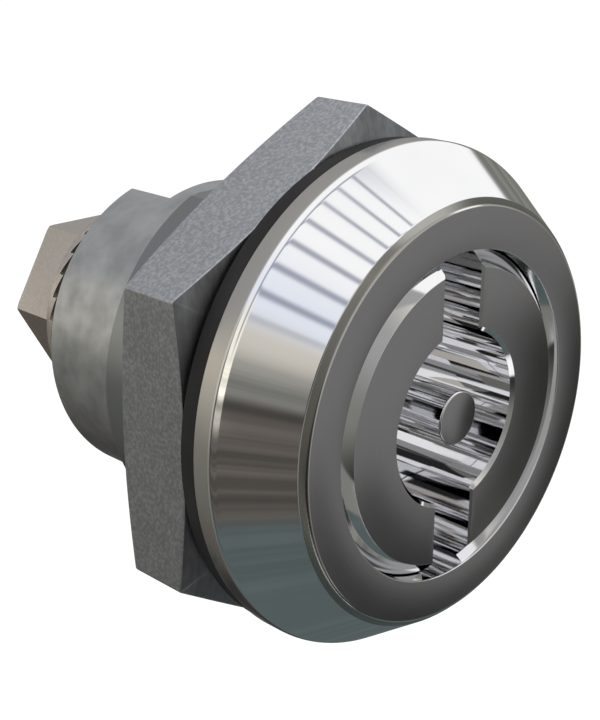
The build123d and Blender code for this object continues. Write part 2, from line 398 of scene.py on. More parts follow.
def whole(tree, operation, *values):
    """Output of an Integer Math node."""
    return result(tree, "FunctionNodeIntegerMath", dict(enumerate(values)), operation=operation)


def tree_inputs(tree, kinds):
    """Adds inputs, given as their names and kinds, and the geometry output to a node tree,
    and returns the sockets that hand the inputs out."""
    for name, kind in kinds.items():
        tree.interface.new_socket(name, in_out="INPUT", socket_type=f"NodeSocket{kind}")
    tree.interface.new_socket("Geometry", in_out="OUTPUT", socket_type="NodeSocketGeometry")
    return tree.nodes.new("NodeGroupInput").outputs


def put_out(tree, geometry, material):
    """Ends a tree: instances made real, doubles merged and the material set."""
    real = result(tree, "GeometryNodeRealizeInstances", {"Geometry": geometry})
    merged = result(tree, "GeometryNodeMergeByDistance", {"Geometry": real, "Distance": WELD})
    last = result(tree, "GeometryNodeSetMaterial", {"Geometry": merged, "Material": material})
    new_node(tree, "NodeGroupOutput", {"Geometry": last})


def turning_tree():
    """Tree that turns a section, radius as x and station as y, once round the Y axis. From
    one station on, the parts inside one radius are cut flat at top and bottom."""
    tree = bpy.data.node_groups.new("Turned piece", "GeometryNodeTree")
    kinds = {
        "Section": "Geometry", "Points": "Int", "Columns": "Int", "Flat height": "Float",
        "Flats from": "Float", "Flats inside": "Float", "Finish": "Material",
    }
    given = tree_inputs(tree, kinds)
    columns = whole(tree, "ADD", given["Columns"], 1)
    extent = {"Size X": 1.0, "Size Y": 1.0, "Vertices X": columns, "Vertices Y": given["Points"]}
    grid = result(tree, "GeometryNodeMeshGrid", extent)
    index = result(tree, "GeometryNodeInputIndex")
    column = whole(tree, "DIVIDE_FLOOR", index, given["Points"])
    row = whole(tree, "MODULO", index, given["Points"])
    place = result(tree, "GeometryNodeInputPosition")
    sampled = result(
        tree,
        "GeometryNodeSampleIndex",
        {"Geometry": given["Section"], "Value": place, "Index": row},
        data_type="FLOAT_VECTOR",
        domain="POINT",
    )
    radius, station = new_node(tree, "ShaderNodeSeparateXYZ", {0: sampled}).outputs[:2]
    angle = times(tree, column, maths(tree, "DIVIDE", TURN, given["Columns"]))
    across = times(tree, radius, maths(tree, "COSINE", angle))
    up = times(tree, radius, maths(tree, "SINE", angle))
    low = times(tree, given["Flat height"], -1.0)
    held = maths(tree, "MAXIMUM", maths(tree, "MINIMUM", up, given["Flat height"]), low)
    behind = maths(tree, "GREATER_THAN", station, given["Flats from"])
    inside = maths(tree, "LESS_THAN", radius, given["Flats inside"])
    change = times(tree, maths(tree, "SUBTRACT", held, up), times(tree, behind, inside))
    height = maths(tree, "ADD", up, change)
    spot = result(tree, "ShaderNodeCombineXYZ", {0: across, 1: station, 2: height})
    placed = result(tree, "GeometryNodeSetPosition", {"Geometry": grid, "Position": spot})
    put_out(tree, placed, given["Finish"])
    return tree


def ramp_tooth_tree():
    """Tree that repeats one sector of the flange round the Y axis and joins the bolt's
    head and shank to it."""
    tree = bpy.data.node_groups.new("Ramp tooth flange", "GeometryNodeTree")
    kinds = {
        "Sector": "Geometry", "Teeth": "Int", "Head and shank": "Object", "Finish": "Material",
    }
    given = tree_inputs(tree, kinds)
    points = result(tree, "GeometryNodePoints", {"Count": given["Teeth"]})
    index = result(tree, "GeometryNodeInputIndex")
    swing = times(tree, index, maths(tree, "DIVIDE", -TURN, given["Teeth"]))
    turn = result(tree, "ShaderNodeCombineXYZ", {1: swing})
    repeated = result(
        tree,
        "GeometryNodeInstanceOnPoints",
        {"Points": points, "Instance": given["Sector"], "Rotation": turn},
    )
    hub = new_node(tree, "GeometryNodeObjectInfo", {"Object": given["Head and shank"]})
    joined = new_node(tree, "GeometryNodeJoinGeometry")
    for part in (repeated, hub.outputs["Geometry"]):
        tree.links.new(part, joined.inputs[0])
    put_out(tree, joined.outputs[0], given["Finish"])
    return tree


def set_inputs(work, tree, values):
    """Adds a node tree to an object as a modifier and sets the tree's named inputs."""
    modifier = work.modifiers.new(tree.name, "NODES")
    modifier.node_group = tree
    for item in tree.interface.items_tree:
        if item.in_out == "INPUT" and item.name in values:
            modifier[item.identifier] = values[item.name]


# Flats that cut nothing: past every piece, and inside no radius
NO_FLATS = (1.0, 1.0, 0.0)


def turned(name, corners, finish, columns=256, closed=True, steps=6, flats=NO_FLATS):
    """Holder of a piece turned from a section. flats is the height of the flats, the
    station that they start from and the radius that they stay inside."""
    points = rounded_section(corners, closed, steps)
    edges = [(spot, spot + 1) for spot in range(len(points) - 1)]
    work = holder(name, plain_mesh(name, [(p.x, p.y, 0.0) for p in points], (), edges))
    height, start, inside = flats
    values = {
        "Points": len(points), "Columns": columns, "Flat height": height,
        "Flats from": start, "Flats inside": inside, "Finish": finish,
    }
    set_inputs(work, bpy.data.node_groups.get("Turned piece") or turning_tree(), values)
    return work


# Shader node groups


def object_place(tree):
    """Place on the object."""
    return new_node(tree, "ShaderNodeTexCoord").outputs["Object"]


def vector_maths(tree, operation, *values):
    """Outputs of a Vector Math node."""
    inputs = dict(enumerate(values))
    return new_node(tree, "ShaderNodeVectorMath", inputs, operation=operation).outputs


def likeness(tree, first, second):
    """Cosine of the angle between two directions."""
    return vector_maths(tree, "DOT_PRODUCT", first, second)["Value"]


def soft_step(tree, value, start, stop):
    """0 before start and 1 past stop, with a soft change between them."""
    limits = {"Value": value, "From Min": start, "From Max": stop}
    return result(tree, "ShaderNodeMapRange", limits, interpolation_type="SMOOTHSTEP")


def noise_along(tree, value, **inputs):
    """Noise that changes with one value."""
    return result(tree, "ShaderNodeTexNoise", {"W": value, **inputs}, noise_dimensions="1D")


def texture_inputs(tree, given):
    """Inputs that place a texture on the object by a group's Stretch and Scale."""
    stretched = vector_maths(tree, "MULTIPLY", object_place(tree), given["Stretch"])[0]
    return {"Vector": stretched, "Scale": given["Scale"]}


def group_tree(name, inputs):
    """Empty shader group with inputs, given as their names and default values, and with
    the mask that every effect puts out. Returns it and the sockets that hand the inputs out."""
    tree = bpy.data.node_groups.new(name, "ShaderNodeTree")
    for label, default in inputs.items():
        kind = "NodeSocketVector" if isinstance(default, tuple) else "NodeSocketFloat"
        socket = tree.interface.new_socket(label, in_out="INPUT", socket_type=kind)
        socket.default_value = default
    tree.interface.new_socket("Mask", in_out="OUTPUT", socket_type="NodeSocketFloat")
    return tree, tree.nodes.new("NodeGroupInput").outputs


def mottling_group():
    """Soft cloudy mask, for smudges, casting blotches and uneven plating."""
    tree, given = group_tree(
        "Mottling", {"Scale": 200.0, "Stretch": (1.0, 1.0, 1.0), "Low": 0.35, "High": 0.65}
    )
    cloud = result(tree, "ShaderNodeTexNoise", {**texture_inputs(tree, given), "Detail": 3.0})
    limits = {"Value": cloud, "From Min": given["Low"], "From Max": given["High"]}
    new_node(tree, "NodeGroupOutput", {"Mask": result(tree, "ShaderNodeMapRange", limits)})
    return tree


def grain_group():
    """Fine grain: a mask of small cells with soft edges, and its height."""
    tree, given = group_tree(
        "Fine grain", {"Scale": 5000.0, "Stretch": (1.0, 1.0, 1.0), "Cells": 0.5}
    )
    tree.interface.new_socket("Height", in_out="OUTPUT", socket_type="NodeSocketFloat")
    texture = texture_inputs(tree, given)
    cells = result(tree, "ShaderNodeTexVoronoi", texture, feature="SMOOTH_F1")
    noise = result(tree, "ShaderNodeTexNoise", {**texture, "Detail": 2.0})
    height = result(tree, "ShaderNodeMix", {"Factor": given["Cells"], "A": noise, "B": cells})
    mask = soft_step(tree, height, 0.3, 0.62)
    new_node(tree, "NodeGroupOutput", {"Mask": mask, "Height": height})
    return tree


def edge_sheen_group():
    """Edge mask for a painted highlight: where a rounded normal leaves the true one."""
    tree, given = group_tree("Edge sheen", {"Width": 0.12 * MM, "Gain": 4.0})
    rounded = result(tree, "ShaderNodeBevel", {"Radius": given["Width"]}, samples=4)
    true = new_node(tree, "ShaderNodeNewGeometry").outputs["Normal"]
    apart = maths(tree, "SUBTRACT", 1.0, likeness(tree, rounded, true))
    raised = result(
        tree, "ShaderNodeMath", {0: apart, 1: given["Gain"]}, operation="MULTIPLY", use_clamp=True
    )
    new_node(tree, "NodeGroupOutput", {"Mask": raised})
    return tree


GROUPS = {"Mottling": mottling_group, "Fine grain": grain_group, "Edge sheen": edge_sheen_group}


def use_group(tree, name, **values):
    """Places a shared effect in a material, with its own values."""
    made = tree.nodes.new("ShaderNodeGroup")
    made.node_tree = bpy.data.node_groups.get(name) or GROUPS[name]()
    for key, value in values.items():
        made.inputs[key].default_value = value
    return made.outputs


# Finishes


def blend(tree, mask, low, high):
    """Colour that goes from low to high with a mask."""
    ends = {
        place: value if isinstance(value, bpy.types.NodeSocket) else (*value, 1.0)
        for place, value in ((6, low), (7, high))
    }
    return new_node(tree, "ShaderNodeMix", {0: mask, **ends}, data_type="RGBA").outputs[2]


def between(tree, mask, low, high):
    """Number that goes from low to high with a mask."""
    return result(tree, "ShaderNodeMapRange", {"Value": mask, "To Min": low, "To Max": high})


def shaded(tree, tone, factor):
    """Colour made lighter or darker by a factor that changes over the surface."""
    return result(tree, "ShaderNodeVectorMath", {0: tone, "Scale": factor}, operation="SCALE")


def tinted(rgb, factor):
    """A colour made lighter or darker."""
    return tuple(min(1.0, part * factor) for part in rgb)


def new_finish(name, metallic=1.0):
    """Empty material and its shader."""
    material = bpy.data.materials.new(name)
    material.use_nodes = True
    shader = material.node_tree.nodes["Principled BSDF"]
    shader.inputs["Metallic"].default_value = metallic
    return material, material.node_tree, shader


def dress(tree, shader, tone, roughness):
    """Links a finish's colour and roughness to its shader."""
    tree.links.new(tone, shader.inputs["Base Color"])
    tree.links.new(roughness, shader.inputs["Roughness"])


def bump(tree, shader, height, strength, distance):
    """Relief from a height."""
    relief = {"Strength": strength, "Distance": distance, "Height": height}
    tree.links.new(result(tree, "ShaderNodeBump", relief), shader.inputs["Normal"])


def metal(name, rgb, rough, smudge, grain=None, edge_sheen=None, stretch=(1.0, 1.0, 1.0)):
    """Metal finish. rough is its roughness in the clean and the smudged places, smudge the scale
    of the mottling and how far it darkens the colour, grain the scale, darkening, relief depth
    and share of cells, and edge_sheen the width, gain and brightening of a painted edge
    highlight."""
    material, tree, shader = new_finish(name)
    cloud = use_group(tree, "Mottling", Scale=smudge[0], Stretch=stretch)["Mask"]
    tone = blend(tree, cloud, tinted(rgb, 1 - smudge[1]), rgb)
    if grain:
        scale, depth, relief, cells = grain
        fine = use_group(tree, "Fine grain", Scale=scale, Stretch=stretch, Cells=cells)
        tone = shaded(tree, tone, between(tree, fine["Mask"], 1 - depth, 1 + depth))
        bump(tree, shader, fine["Height"], 0.6, relief)
    # Edges blend towards the colour times lift: a painted highlight where lift is above 1
    if edge_sheen:
        width, gain, lift = edge_sheen
        edge = use_group(tree, "Edge sheen", Width=width, Gain=gain)["Mask"]
        tone = blend(tree, edge, tone, tinted(rgb, lift))
    dress(tree, shader, tone, between(tree, cloud, rough[1], rough[0]))
    return material


def bright_chrome(rgb):
    """Mirror chrome with faint smudges and slightly duller edges."""
    # Here the edge mask makes the edges a little darker
    edge_sheen = (0.06 * MM, 1.5, 0.97)
    return metal("Bright chrome", rgb, (0.045, 0.075), (180.0, 0.03), edge_sheen=edge_sheen)


def polished_socket(rgb):
    """Mirror chrome inside the key socket."""
    return metal("Polished chrome socket", tinted(rgb, 0.97), (0.02, 0.03), (180.0, 0.03))


def dull_chrome_painted_dark(rgb):
    """Rougher chrome behind the panel. Its dark colour is painted shade of the recess round the
    barrel, and its lighter edges a painted highlight.
    """
    return metal("Dull chrome painted dark", rgb, (0.16, 0.24), (140.0, 0.12), edge_sheen=(0.1 * MM, 3.0, 1.3))


def satin_rim(rgb):
    """Satin chrome of the straight rim."""
    return metal("Satin chrome rim", rgb, (0.2, 0.27), (160.0, 0.05))


def satin_edge(rgb):
    """Darker satin chrome of the broken edge round the front face."""
    return metal("Satin chrome edge", rgb, (0.16, 0.22), (160.0, 0.05))


def galvanised_steel(rgb):
    """Galvanised steel with a crystal grain."""
    # The second tuple lightens the edges: a painted highlight
    grain, edge_sheen = (5200.0, -0.17, 0.02 * MM, 0.2), (0.12 * MM, 2.0, 1.25)
    return metal("Galvanised steel", rgb, (0.36, 0.46), (850.0, 0.12), grain, edge_sheen)


def turned_chamfer_painted_dark(rgb):
    """Streaked metal of the nut's turned cones, painted darker than the nut as painted shade."""
    grain, stretch = (5000.0, 0.1, 0.01 * MM, 0.4), (1.0, 1.0, 0.25)
    # Painted shade: the cones take the nut's colour at a little over half its brightness
    tone = tinted(rgb, 0.55)
    return metal("Turned nut chamfer painted dark", tone, (0.3, 0.42), (420.0, 0.3), grain, stretch=stretch)


def cast_zinc(rgb):
    """Blotched zinc casting."""
    # The edge tuple lightens the edges: a painted highlight
    return metal("Cast zinc", rgb, (0.28, 0.42), (480.0, 0.34), edge_sheen=(0.15 * MM, 2.0, 1.15))


def zinc_plate(rgb):
    """Zinc-plated sheet of the stop driver."""
    # The second tuple lightens the edges: a painted highlight
    grain, edge_sheen = (6000.0, 0.05, 0.01 * MM, 0.2), (0.12 * MM, 3.0, 1.3)
    return metal("Zinc plate", rgb, (0.26, 0.34), (200.0, 0.12), grain, edge_sheen)


def spring_steel(rgb):
    """Dark spring steel of the retaining ring."""
    # The second tuple lightens the edges: a painted highlight
    grain, edge_sheen = (7000.0, 0.08, 0.01 * MM, 0.3), (0.1 * MM, 3.0, 1.6)
    return metal("Spring steel", rgb, (0.3, 0.38), (240.0, 0.15), grain, edge_sheen)


def bolt_plating(rgb):
    """Warm plating of the bolt."""
    # The second tuple lightens the edges: a painted highlight
    grain, edge_sheen = (5000.0, 0.05, 0.01 * MM, 0.2), (0.1 * MM, 2.0, 1.2)
    return metal("Bolt plating", rgb, (0.24, 0.32), (220.0, 0.1), grain, edge_sheen)


def satin_face_painted_dark(rgb):
    """Satin chrome of the front faces, with faint rings from the turning. Its dark colour is a
    painted dark reflection, and its lighter edges a painted highlight.
    """
    material, tree, shader = new_finish("Satin chrome face painted dark")
    parts = new_node(tree, "ShaderNodeSeparateXYZ", {0: object_place(tree)}).outputs
    flat = result(tree, "ShaderNodeCombineXYZ", {0: parts[0], 1: parts[2]})
    radius = vector_maths(tree, "LENGTH", flat)["Value"]
    rings = noise_along(tree, radius, Scale=9000.0, Detail=1.0)
    cloud = use_group(tree, "Mottling", Scale=160.0)["Mask"]
    edge = use_group(tree, "Edge sheen", Width=0.08 * MM, Gain=3.0)["Mask"]
    tone = blend(tree, rings, tinted(rgb, 0.97), tinted(rgb, 1.03))
    # Lighter edges: a painted highlight
    tone = blend(tree, edge, tone, tinted(rgb, 1.5))
    dress(tree, shader, tone, between(tree, cloud, 0.18, 0.15))
    bump(tree, shader, rings, 0.04, 0.01 * MM)
    return material


def black_rubber(rgb):
    """Black rubber with a fine grain and a little dust."""
    material, tree, shader = new_finish("Black rubber", metallic=0.0)
    grain = use_group(tree, "Fine grain", Scale=9000.0, Cells=0.3)
    dust = use_group(tree, "Mottling", Scale=300.0, Low=0.45, High=0.75)["Mask"]
    tone = blend(tree, dust, rgb, tinted(rgb, 1.5))
    dress(tree, shader, tone, between(tree, grain["Mask"], 0.6, 0.72))
    shader.inputs["Specular IOR Level"].default_value = 0.3
    bump(tree, shader, grain["Height"], 0.3, 0.02 * MM)
    return material


def shared_chrome(context):
    """Bright, satin and dull chrome, which the housing and the spindle both use."""
    size = context.scene.latch_housing
    looks = (
        ("Bright chrome", bright_chrome, size.chrome),
        # The satin face's dark colour is a painted dark reflection
        ("Satin chrome face painted dark", satin_face_painted_dark, size.satin),
        # Dark colour of the dull chrome: painted shade of the recess round the barrel
        ("Dull chrome painted dark", dull_chrome_painted_dark, (0.41, 0.43, 0.44)),
    )
    return [bpy.data.materials.get(name) or make(rgb) for name, make, rgb in looks]


# Operators


class LATCH_OT_build_housing(bpy.types.Operator):
    """Build the head and the flatted barrel"""

    bl_idname = "latch.build_housing"
    bl_label = "Housing"

    def execute(self, context):
        size = context.scene.latch_housing
        bore, barrel, chamfer = size.bore_radius, size.barrel_radius, size.face_chamfer
        face_end = size.face_radius - chamfer
        rim_front = HEAD_REAR - size.rim_width
        web_front = BARREL_END - WEB_THICKNESS
        edge_round, lead = 0.1 * MM, 0.3 * MM
        corners = [
            (bore, FRONT, 0.06 * MM),
            (face_end, FRONT, 0.3 * MM),
            (size.face_radius, FRONT + chamfer, 0.4 * MM),
            (size.head_radius, rim_front, size.rim_fillet),
            (size.head_radius, HEAD_REAR, edge_round),
            (barrel, HEAD_REAR),
            (barrel, BARREL_END - lead),
            (barrel - lead, BARREL_END),
            (SPIGOT_RADIUS, BARREL_END),
            (SPIGOT_RADIUS, SPIGOT_END, edge_round),
            (SPIGOT_BORE, SPIGOT_END, edge_round),
            (SPIGOT_BORE, BARREL_END),
            (WEB_BORE, BARREL_END),
            (WEB_BORE, web_front),
            (bore, web_front),
        ]
        chrome, satin, dull = shared_chrome(context)
        rim, edge = satin_rim(size.rim), satin_edge((0.42, 0.41, 0.38))

        # The satin starts just past the rounding between cone and rim, and the darker edge
        # is the front part of the face's chamfer
        satin_start = rim_front + 0.42 * MM
        edge_end = FRONT + 0.6 * chamfer

        def zone(centre, normal):
            radius = radius_of(centre)
            if normal.y < -STRAIGHT and radius < face_end + 2 * HAIR:
                return satin
            if radius > face_end and centre.y < edge_end:
                return edge
            if radius > barrel and centre.y > satin_start:
                return rim
            return dull if centre.y > HEAD_REAR and radius > bore else chrome

        flats = (size.flat_height, HEAD_REAR - HAIR, barrel + HAIR)
        work = turned("housing work", corners, chrome, columns=512, steps=10, flats=flats)
        finished_piece(
            work, "housing_casting", "housing", "housing_body",
            [chrome, satin, rim, dull, edge], 20.0, zone,
        )
        return {"FINISHED"}


class LATCH_OT_build_gasket(bpy.types.Operator):
    """Build the gasket between the head and the panel, and finish the seal ring"""

    bl_idname = "latch.build_gasket"
    bl_label = "Gasket and seal ring"

    def execute(self, context):
        size = context.scene.latch_seal
        corners = [
            (size.gasket_bore, HEAD_REAR),
            (size.gasket_radius, HEAD_REAR, size.gasket_edge),
            (size.gasket_radius, 0.0, size.gasket_edge),
            (size.gasket_bore, 0.0),
        ]
        rubber = black_rubber(size.rubber)
        work = turned("gasket work", corners, rubber)
        finished_piece(
            work, "gasket_ring", "gasket", "housing_body", [rubber], 30.0
        )
        dress_node("seal_ring", rubber)
        return {"FINISHED"}


def hexagon_columns(flat, corner, first_corner, along=26, round_steps=6):
    """Radius at each angle of a hexagon's outline with rounded corners."""
    reach = (flat - corner) / cos(radians(30))
    columns = {}
    for side in range(6):
        middle = first_corner + side * TURN / 6
        for step in range(round_steps + 1):
            lean = radians(-30 + 60 * step / round_steps)
            x = reach + corner * cos(lean)
            y = corner * sin(lean)
            angle = middle + atan2(y, x)
            columns[angle] = sqrt(x * x + y * y)
        start, sweep = angle, TURN / 6 - 2 * (angle - middle)
        for step in range(1, along):
            angle = start + sweep * step / along
            columns[angle] = flat / cos(angle - middle - TURN / 12)
    return columns


class LATCH_OT_build_nut(bpy.types.Operator):
    """Build the hexagon fixing nut"""

    bl_idname = "latch.build_nut"
    bl_label = "Fixing nut"

    def execute(self, context):
        size = context.scene.latch_nut
        bore, rear = size.bore_radius, size.thickness
        outline = hexagon_columns(size.flat_radius, size.corner, TURN / 4)
        lead, edge_round, slope = 0.4 * MM, 0.1 * MM, tan(radians(16))
        cone_start = size.flat_radius - lead

        def section(angle):
            edge = outline[angle]
            drop = (edge - cone_start) * slope
            corners = [
                (bore, lead),
                (bore + lead, 0.0),
                (cone_start, 0.0),
                (edge, drop, edge_round),
                (edge, rear - drop, edge_round),
                (cone_start, rear),
                (bore + lead, rear),
                (bore, rear - lead),
            ]
            return rounded_section(corners, steps=4)

        steel, cone = galvanised_steel(size.zinc), turned_chamfer_painted_dark(size.zinc)

        def zone(centre, normal):
            return cone if radius_of(centre) > cone_start and abs(normal.y) > 0.9 else steel

        finished_piece(
            holder("nut work", lofted_mesh("nut work", list(outline), section)),
            "fixing_nut", "hex_nut", "housing_body",
            [steel, cone], 12.5, zone,
        )
        return {"FINISHED"}


def slot_cutter(half_width, floor, flare, reach):
    """Closed mesh of the key slots, with a flared mouth."""
    spread = 1.0 * MM
    outline = [
        (-half_width, floor),
        (half_width, floor),
        (half_width, FRONT + flare),
        (half_width + flare + spread, FRONT - spread),
        (-half_width - flare - spread, FRONT - spread),
        (-half_width, FRONT + flare),
    ]
    return prism(outline, -reach, reach)


class LATCH_OT_build_spindle(bpy.types.Operator):
    """Build the spindle with its key socket, and the guide pin"""

    bl_idname = "latch.build_spindle"
    bl_label = "Spindle and pin"

    def execute(self, context):
        size = context.scene.latch_spindle
        socket, outer, pin = size.socket_radius, size.radius, size.pin_radius
        floor = FRONT + size.socket_depth
        root_end = floor + PIN_ROOT_DEPTH
        mouth, edge_round, lead = 0.2 * MM, 0.04 * MM, 0.4 * MM

        def section(angle):
            side = square_reach(size.square / 2, angle)
            corners = [
                (0.0, root_end),
                (PIN_ROOT, root_end),
                (PIN_ROOT, floor),
                (socket, floor),
                (socket, FRONT + mouth),
                (socket + mouth, FRONT),
                (outer - size.chamfer, FRONT, edge_round),
                (outer, FRONT + size.chamfer, edge_round),
                *groove(outer, SEAL_FLOOR, SEAL_GROOVE),
                (outer, SPINDLE_HEAD_END),
                (JOURNAL, SPINDLE_HEAD_END),
                *groove(JOURNAL, RING_FLOOR, RING_GROOVE),
                (JOURNAL, DRIVER_FRONT),
                (side, DRIVER_FRONT),
                (side, SQUARE_END - lead),
                (side - lead, SQUARE_END),
                (BOLT_HOLE, SQUARE_END),
                (BOLT_HOLE, SQUARE_END - BOLT_HOLE_DEPTH),
                (0.0, SQUARE_END - BOLT_HOLE_DEPTH),
            ]
            return rounded_section(corners, closed=False, steps=4)

        chrome, satin, dull = shared_chrome(context)
        polished = polished_socket(context.scene.latch_housing.chrome)

        def zone(centre, normal):
            if normal.y < -STRAIGHT and centre.y < FRONT + HAIR:
                return satin
            if centre.y > SPINDLE_HEAD_END - 5 * HAIR:
                return dull
            inside = radius_of(centre) < outer - size.chamfer
            deep = FRONT + mouth < centre.y < floor + HAIR
            return polished if inside and deep else chrome

        work = holder("spindle work", lofted_mesh("spindle work", even_angles(320), section))
        cut(work, slot_cutter(size.slot_width / 2, floor, 0.12 * MM, outer + 1.0 * MM))
        finished_piece(
            work, "keyed_spindle", "spindle", "spindle_body",
            [chrome, satin, polished, dull], 20.0, zone,
        )
        corners = [
            (0.0, FRONT),
            (pin, FRONT, 0.1 * MM),
            (pin, floor),
            (PIN_ROOT, floor),
            (PIN_ROOT, root_end),
            (0.0, root_end),
        ]
        work = turned("pin work", corners, chrome, columns=160, closed=False)
        finished_piece(
            work, "guide_pin", "key_pin", "spindle_body",
            [chrome, satin, polished], 30.0, zone,
        )
        return {"FINISHED"}


def driver_section(size, angle, tip, root):
    """Section of the stop driver. Its tab has parallel sides and points along +X: tip and
    root are half the angles that it covers at its end and at the hub."""
    swing, slack = min(angle, TURN - angle), 0.0001
    edge = size.driver_radius
    if swing <= tip + slack:
        edge = size.tab_radius
    elif swing < root - slack:
        edge = size.tab_half / sin(swing)
    hole = square_reach(DRIVER_HOLE, angle)
    corners = [
        (hole, DRIVER_FRONT),
        (edge, DRIVER_FRONT),
        (edge, COLLAR_END),
        (size.driver_radius, COLLAR_END),
        (size.driver_radius, CAM_SEAT),
        (hole, CAM_SEAT),
    ]
    return rounded_section(corners)


class LATCH_OT_build_stop(bpy.types.Operator):
    """Build the stop collar and the stop driver, and finish the retaining ring"""

    bl_idname = "latch.build_stop"
    bl_label = "Stop collar and driver"

    def execute(self, context):
        size = context.scene.latch_stop
        zinc = cast_zinc(size.zinc)
        corners = [
            (SPIGOT_RADIUS, BARREL_END),
            (size.collar_radius, BARREL_END, 0.1 * MM),
            (size.collar_radius, COLLAR_END),
            (SPIGOT_BORE, COLLAR_END),
            (SPIGOT_BORE, SPIGOT_END),
            (SPIGOT_RADIUS, SPIGOT_END),
        ]
        # With 144 columns none lies so near a wall of the opening that the bevel folds it
        work = turned("collar work", corners, zinc, columns=144)
        near, far, past = -3.0 * MM, 12.0 * MM, COLLAR_END + 1.0 * MM
        opening = [(near, STOP_FLOOR), (far, STOP_FLOOR), (far, past), (near, past)]
        cut(work, prism(opening, near, far))
        finished_piece(
            work, "collar_casting", "stop_collar", "housing_body",
            [zinc], 25.0, round_off=(0.08 * MM, 3, 40.0),
        )

        # Columns nearer than a degree to the edges of the tab give way to them
        tip = asin(size.tab_half / size.tab_radius)
        root = asin(size.tab_half / size.driver_radius)
        edges = {tip, root, TURN - tip, TURN - root}
        clear = radians(1)
        angles = {a for a in even_angles(240) if min(abs(a - e) for e in edges) > clear} | edges
        mesh = lofted_mesh(
            "driver work", sorted(angles), lambda angle: driver_section(size, angle, tip, root)
        )
        finished_piece(
            holder("driver work", mesh),
            "driver_plate", "stop_driver", "spindle_body",
            [zinc_plate((0.60, 0.61, 0.62))], 25.0, round_off=(0.08 * MM, 2, 40.0),
        )
        dress_node("retaining_ring", spring_steel((0.22, 0.21, 0.20)))
        return {"FINISHED"}


def flange_back(size, radius):
    """Station of the sloping back of the flange at one radius."""
    return RIM_REAR + (size.flange_radius - radius) * tan(radians(25))


def head_section(size, angle):
    """Section of the hexagon head, out to the seam on the back of the flange."""
    flat = size.flat_radius
    side = flat / max(cos(angle - TURN / 12 - k * TURN / 6) for k in range(6))
    top = min(side, flat + 0.62 * MM)
    drop = (side - top) * tan(radians(30))
    corners = [
        (0.0, BOLT_END),
        (flat - 0.4 * MM, BOLT_END),
        (top, BOLT_END),
        (side, BOLT_END - drop),
        (side, flange_back(size, side)),
        (FLANGE_SEAM, flange_back(size, FLANGE_SEAM)),
    ]
    return rounded_section(corners, closed=False)


def tooth_root(size):
    """Radius that the teeth start from."""
    return size.flange_radius - 2.3 * MM


def shank_section(size, angle):
    """Section of the bearing face inside the teeth and of the shank."""
    corners = [
        (tooth_root(size), FLANGE_FACE),
        (SHANK, FLANGE_FACE),
        (SHANK, BOLT_TIP + 0.8 * MM),
        (SHANK_TIP, BOLT_TIP),
        (0.0, BOLT_TIP),
    ]
    return rounded_section(corners, closed=False)


def flange_sector(size, per_tooth):
    """Mesh of one tooth, with the rim and the back of the flange above it. Its last strip
    stands on the spot of the one before and is the step of the tooth."""
    rim, root, seam = size.flange_radius, tooth_root(size), FLANGE_SEAM
    rows = [(root, 0.0), (root, 1.0), (rim - 0.8 * MM, 1.0), (rim, 1.0)]
    upper = rounded_section(
        [
            (rim, FLANGE_FACE + size.tooth_depth),
            (rim, RIM_REAR, 0.12 * MM),
            (seam, flange_back(size, seam)),
        ],
        closed=False,
        steps=4,
    )
    corners, faces = [], []
    strips = [*range(per_tooth + 1), per_tooth]
    for place, step in enumerate(strips):
        angle = TURN / size.tooth_count * (step / per_tooth - 0.5)
        share = step / per_tooth if place <= per_tooth else 0.0
        ring = [
            (radius, FLANGE_FACE + size.tooth_depth * radius / rim * share * on)
            for radius, on in rows
        ]
        ring += [tuple(point) for point in upper]
        corners += [(r * cos(angle), y, r * sin(angle)) for r, y in ring]
    width = len(rows) + len(upper)
    for place in range(per_tooth + 1):
        last = width if place < per_tooth else len(rows)
        for here in range(place * width, place * width + last - 1):
            faces.append((here, here + width, here + width + 1, here + 1))
    return plain_mesh("flange sector", corners, faces)


class LATCH_OT_build_bolt(bpy.types.Operator):
    """Build the flange bolt with its ramp teeth"""

    bl_idname = "latch.build_bolt"
    bl_label = "Flange bolt"

    def execute(self, context):
        size = context.scene.latch_bolt
        per_tooth = 6
        columns = size.tooth_count * per_tooth
        angles = [TURN / size.tooth_count / 2 + TURN * k / columns for k in range(columns)]
        shape = bmesh.new()
        for section in (head_section, shank_section):
            half = lofted_mesh("bolt half", angles, lambda angle: section(size, angle))
            shape.from_mesh(half)
        mesh = bpy.data.meshes.new("bolt head and shank")
        shape.to_mesh(mesh)
        shape.free()
        hub = holder("bolt head and shank", mesh)
        plating = bolt_plating(size.plating)
        work = holder("bolt work", flange_sector(size, per_tooth))
        values = {"Teeth": size.tooth_count, "Head and shank": hub, "Finish": plating}
        set_inputs(work, ramp_tooth_tree(), values)
        finished_piece(
            work, "cam_bolt", "flange_bolt", "spindle_body",
            [plating], 20.0, round_off=(0.02 * MM, 2, 35.0),
        )
        bpy.data.objects.remove(hub)
        return {"FINISHED"}


# Stage


def level(*parts):
    """Linear colour of an sRGB one, given in 0 to 255 or as one grey level."""
    parts = parts * 3 if len(parts) == 1 else parts
    return tuple(((part / 255 + 0.055) / 1.055) ** 2.4 for part in parts)


# Tones of the light tent's panels
WHITE = level(255)
IVORY = level(250, 245, 230)
COOL_WHITE = level(230, 235, 245)
WARM_WHITE = level(230, 225, 215)
PALE_STONE = level(205, 200, 190)
STONE = level(160)
GREY = level(125, 125, 120)
TEAL = level(85, 95, 95)
UMBER = level(90, 85, 80)
SLATE = level(125, 130, 150)
CHARCOAL = level(45)

